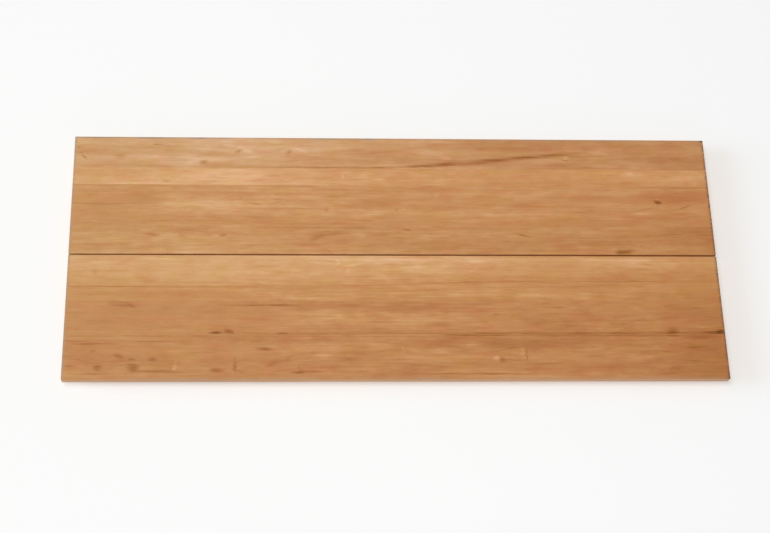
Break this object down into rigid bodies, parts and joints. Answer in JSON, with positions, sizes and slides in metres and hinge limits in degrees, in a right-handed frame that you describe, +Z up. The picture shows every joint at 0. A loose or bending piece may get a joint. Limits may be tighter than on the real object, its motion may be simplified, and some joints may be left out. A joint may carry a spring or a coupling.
{
  "type": "plank tabletop",
  "caption": "Rectangular teak tabletop of two edge-glued planks with an open joint between them, held by cross battens that screw to a table frame.",
  "frame": {"origin": "on the plane that the battens stand on, under the middle of the top", "axes": "+X along the planks to the right, +Y across them to the back edge, +Z up through the top face"},
  "size_m": [1.8, 0.72, 0.0503],
  "materials": {
    "middle_teak": "oiled, satin",
    "pale_teak": "oiled, satin",
    "deep_teak": "oiled, satin",
    "batten_teak": "planed, unfinished",
    "zinc_steel": "zinc plated"
  },
  "bodies": {
    "root": {"back_plank_stave_1": "middle_teak", "back_plank_stave_2": "pale_teak", "back_plank_stave_3": "middle_teak", "back_plank_stave_4": "middle_teak", "front_plank_stave_1": "pale_teak", "front_plank_stave_2": "deep_teak", "front_plank_stave_3": "deep_teak", "left_batten": "batten_teak", "left_batten_screw_1": "zinc_steel", "left_batten_screw_2": "zinc_steel", "left_batten_screw_3": "zinc_steel", "left_batten_screw_4": "zinc_steel", "left_batten_screw_5": "zinc_steel", "left_batten_screw_6": "zinc_steel", "middle_batten": "batten_teak", "middle_batten_screw_1": "zinc_steel", "middle_batten_screw_2": "zinc_steel", "middle_batten_screw_3": "zinc_steel", "middle_batten_screw_4": "zinc_steel", "middle_batten_screw_5": "zinc_steel", "middle_batten_screw_6": "zinc_steel", "right_batten": "batten_teak", "right_batten_screw_1": "zinc_steel", "right_batten_screw_2": "zinc_steel", "right_batten_screw_3": "zinc_steel", "right_batten_screw_4": "zinc_steel", "right_batten_screw_5": "zinc_steel", "right_batten_screw_6": "zinc_steel"}
  },
  "joints": []
}
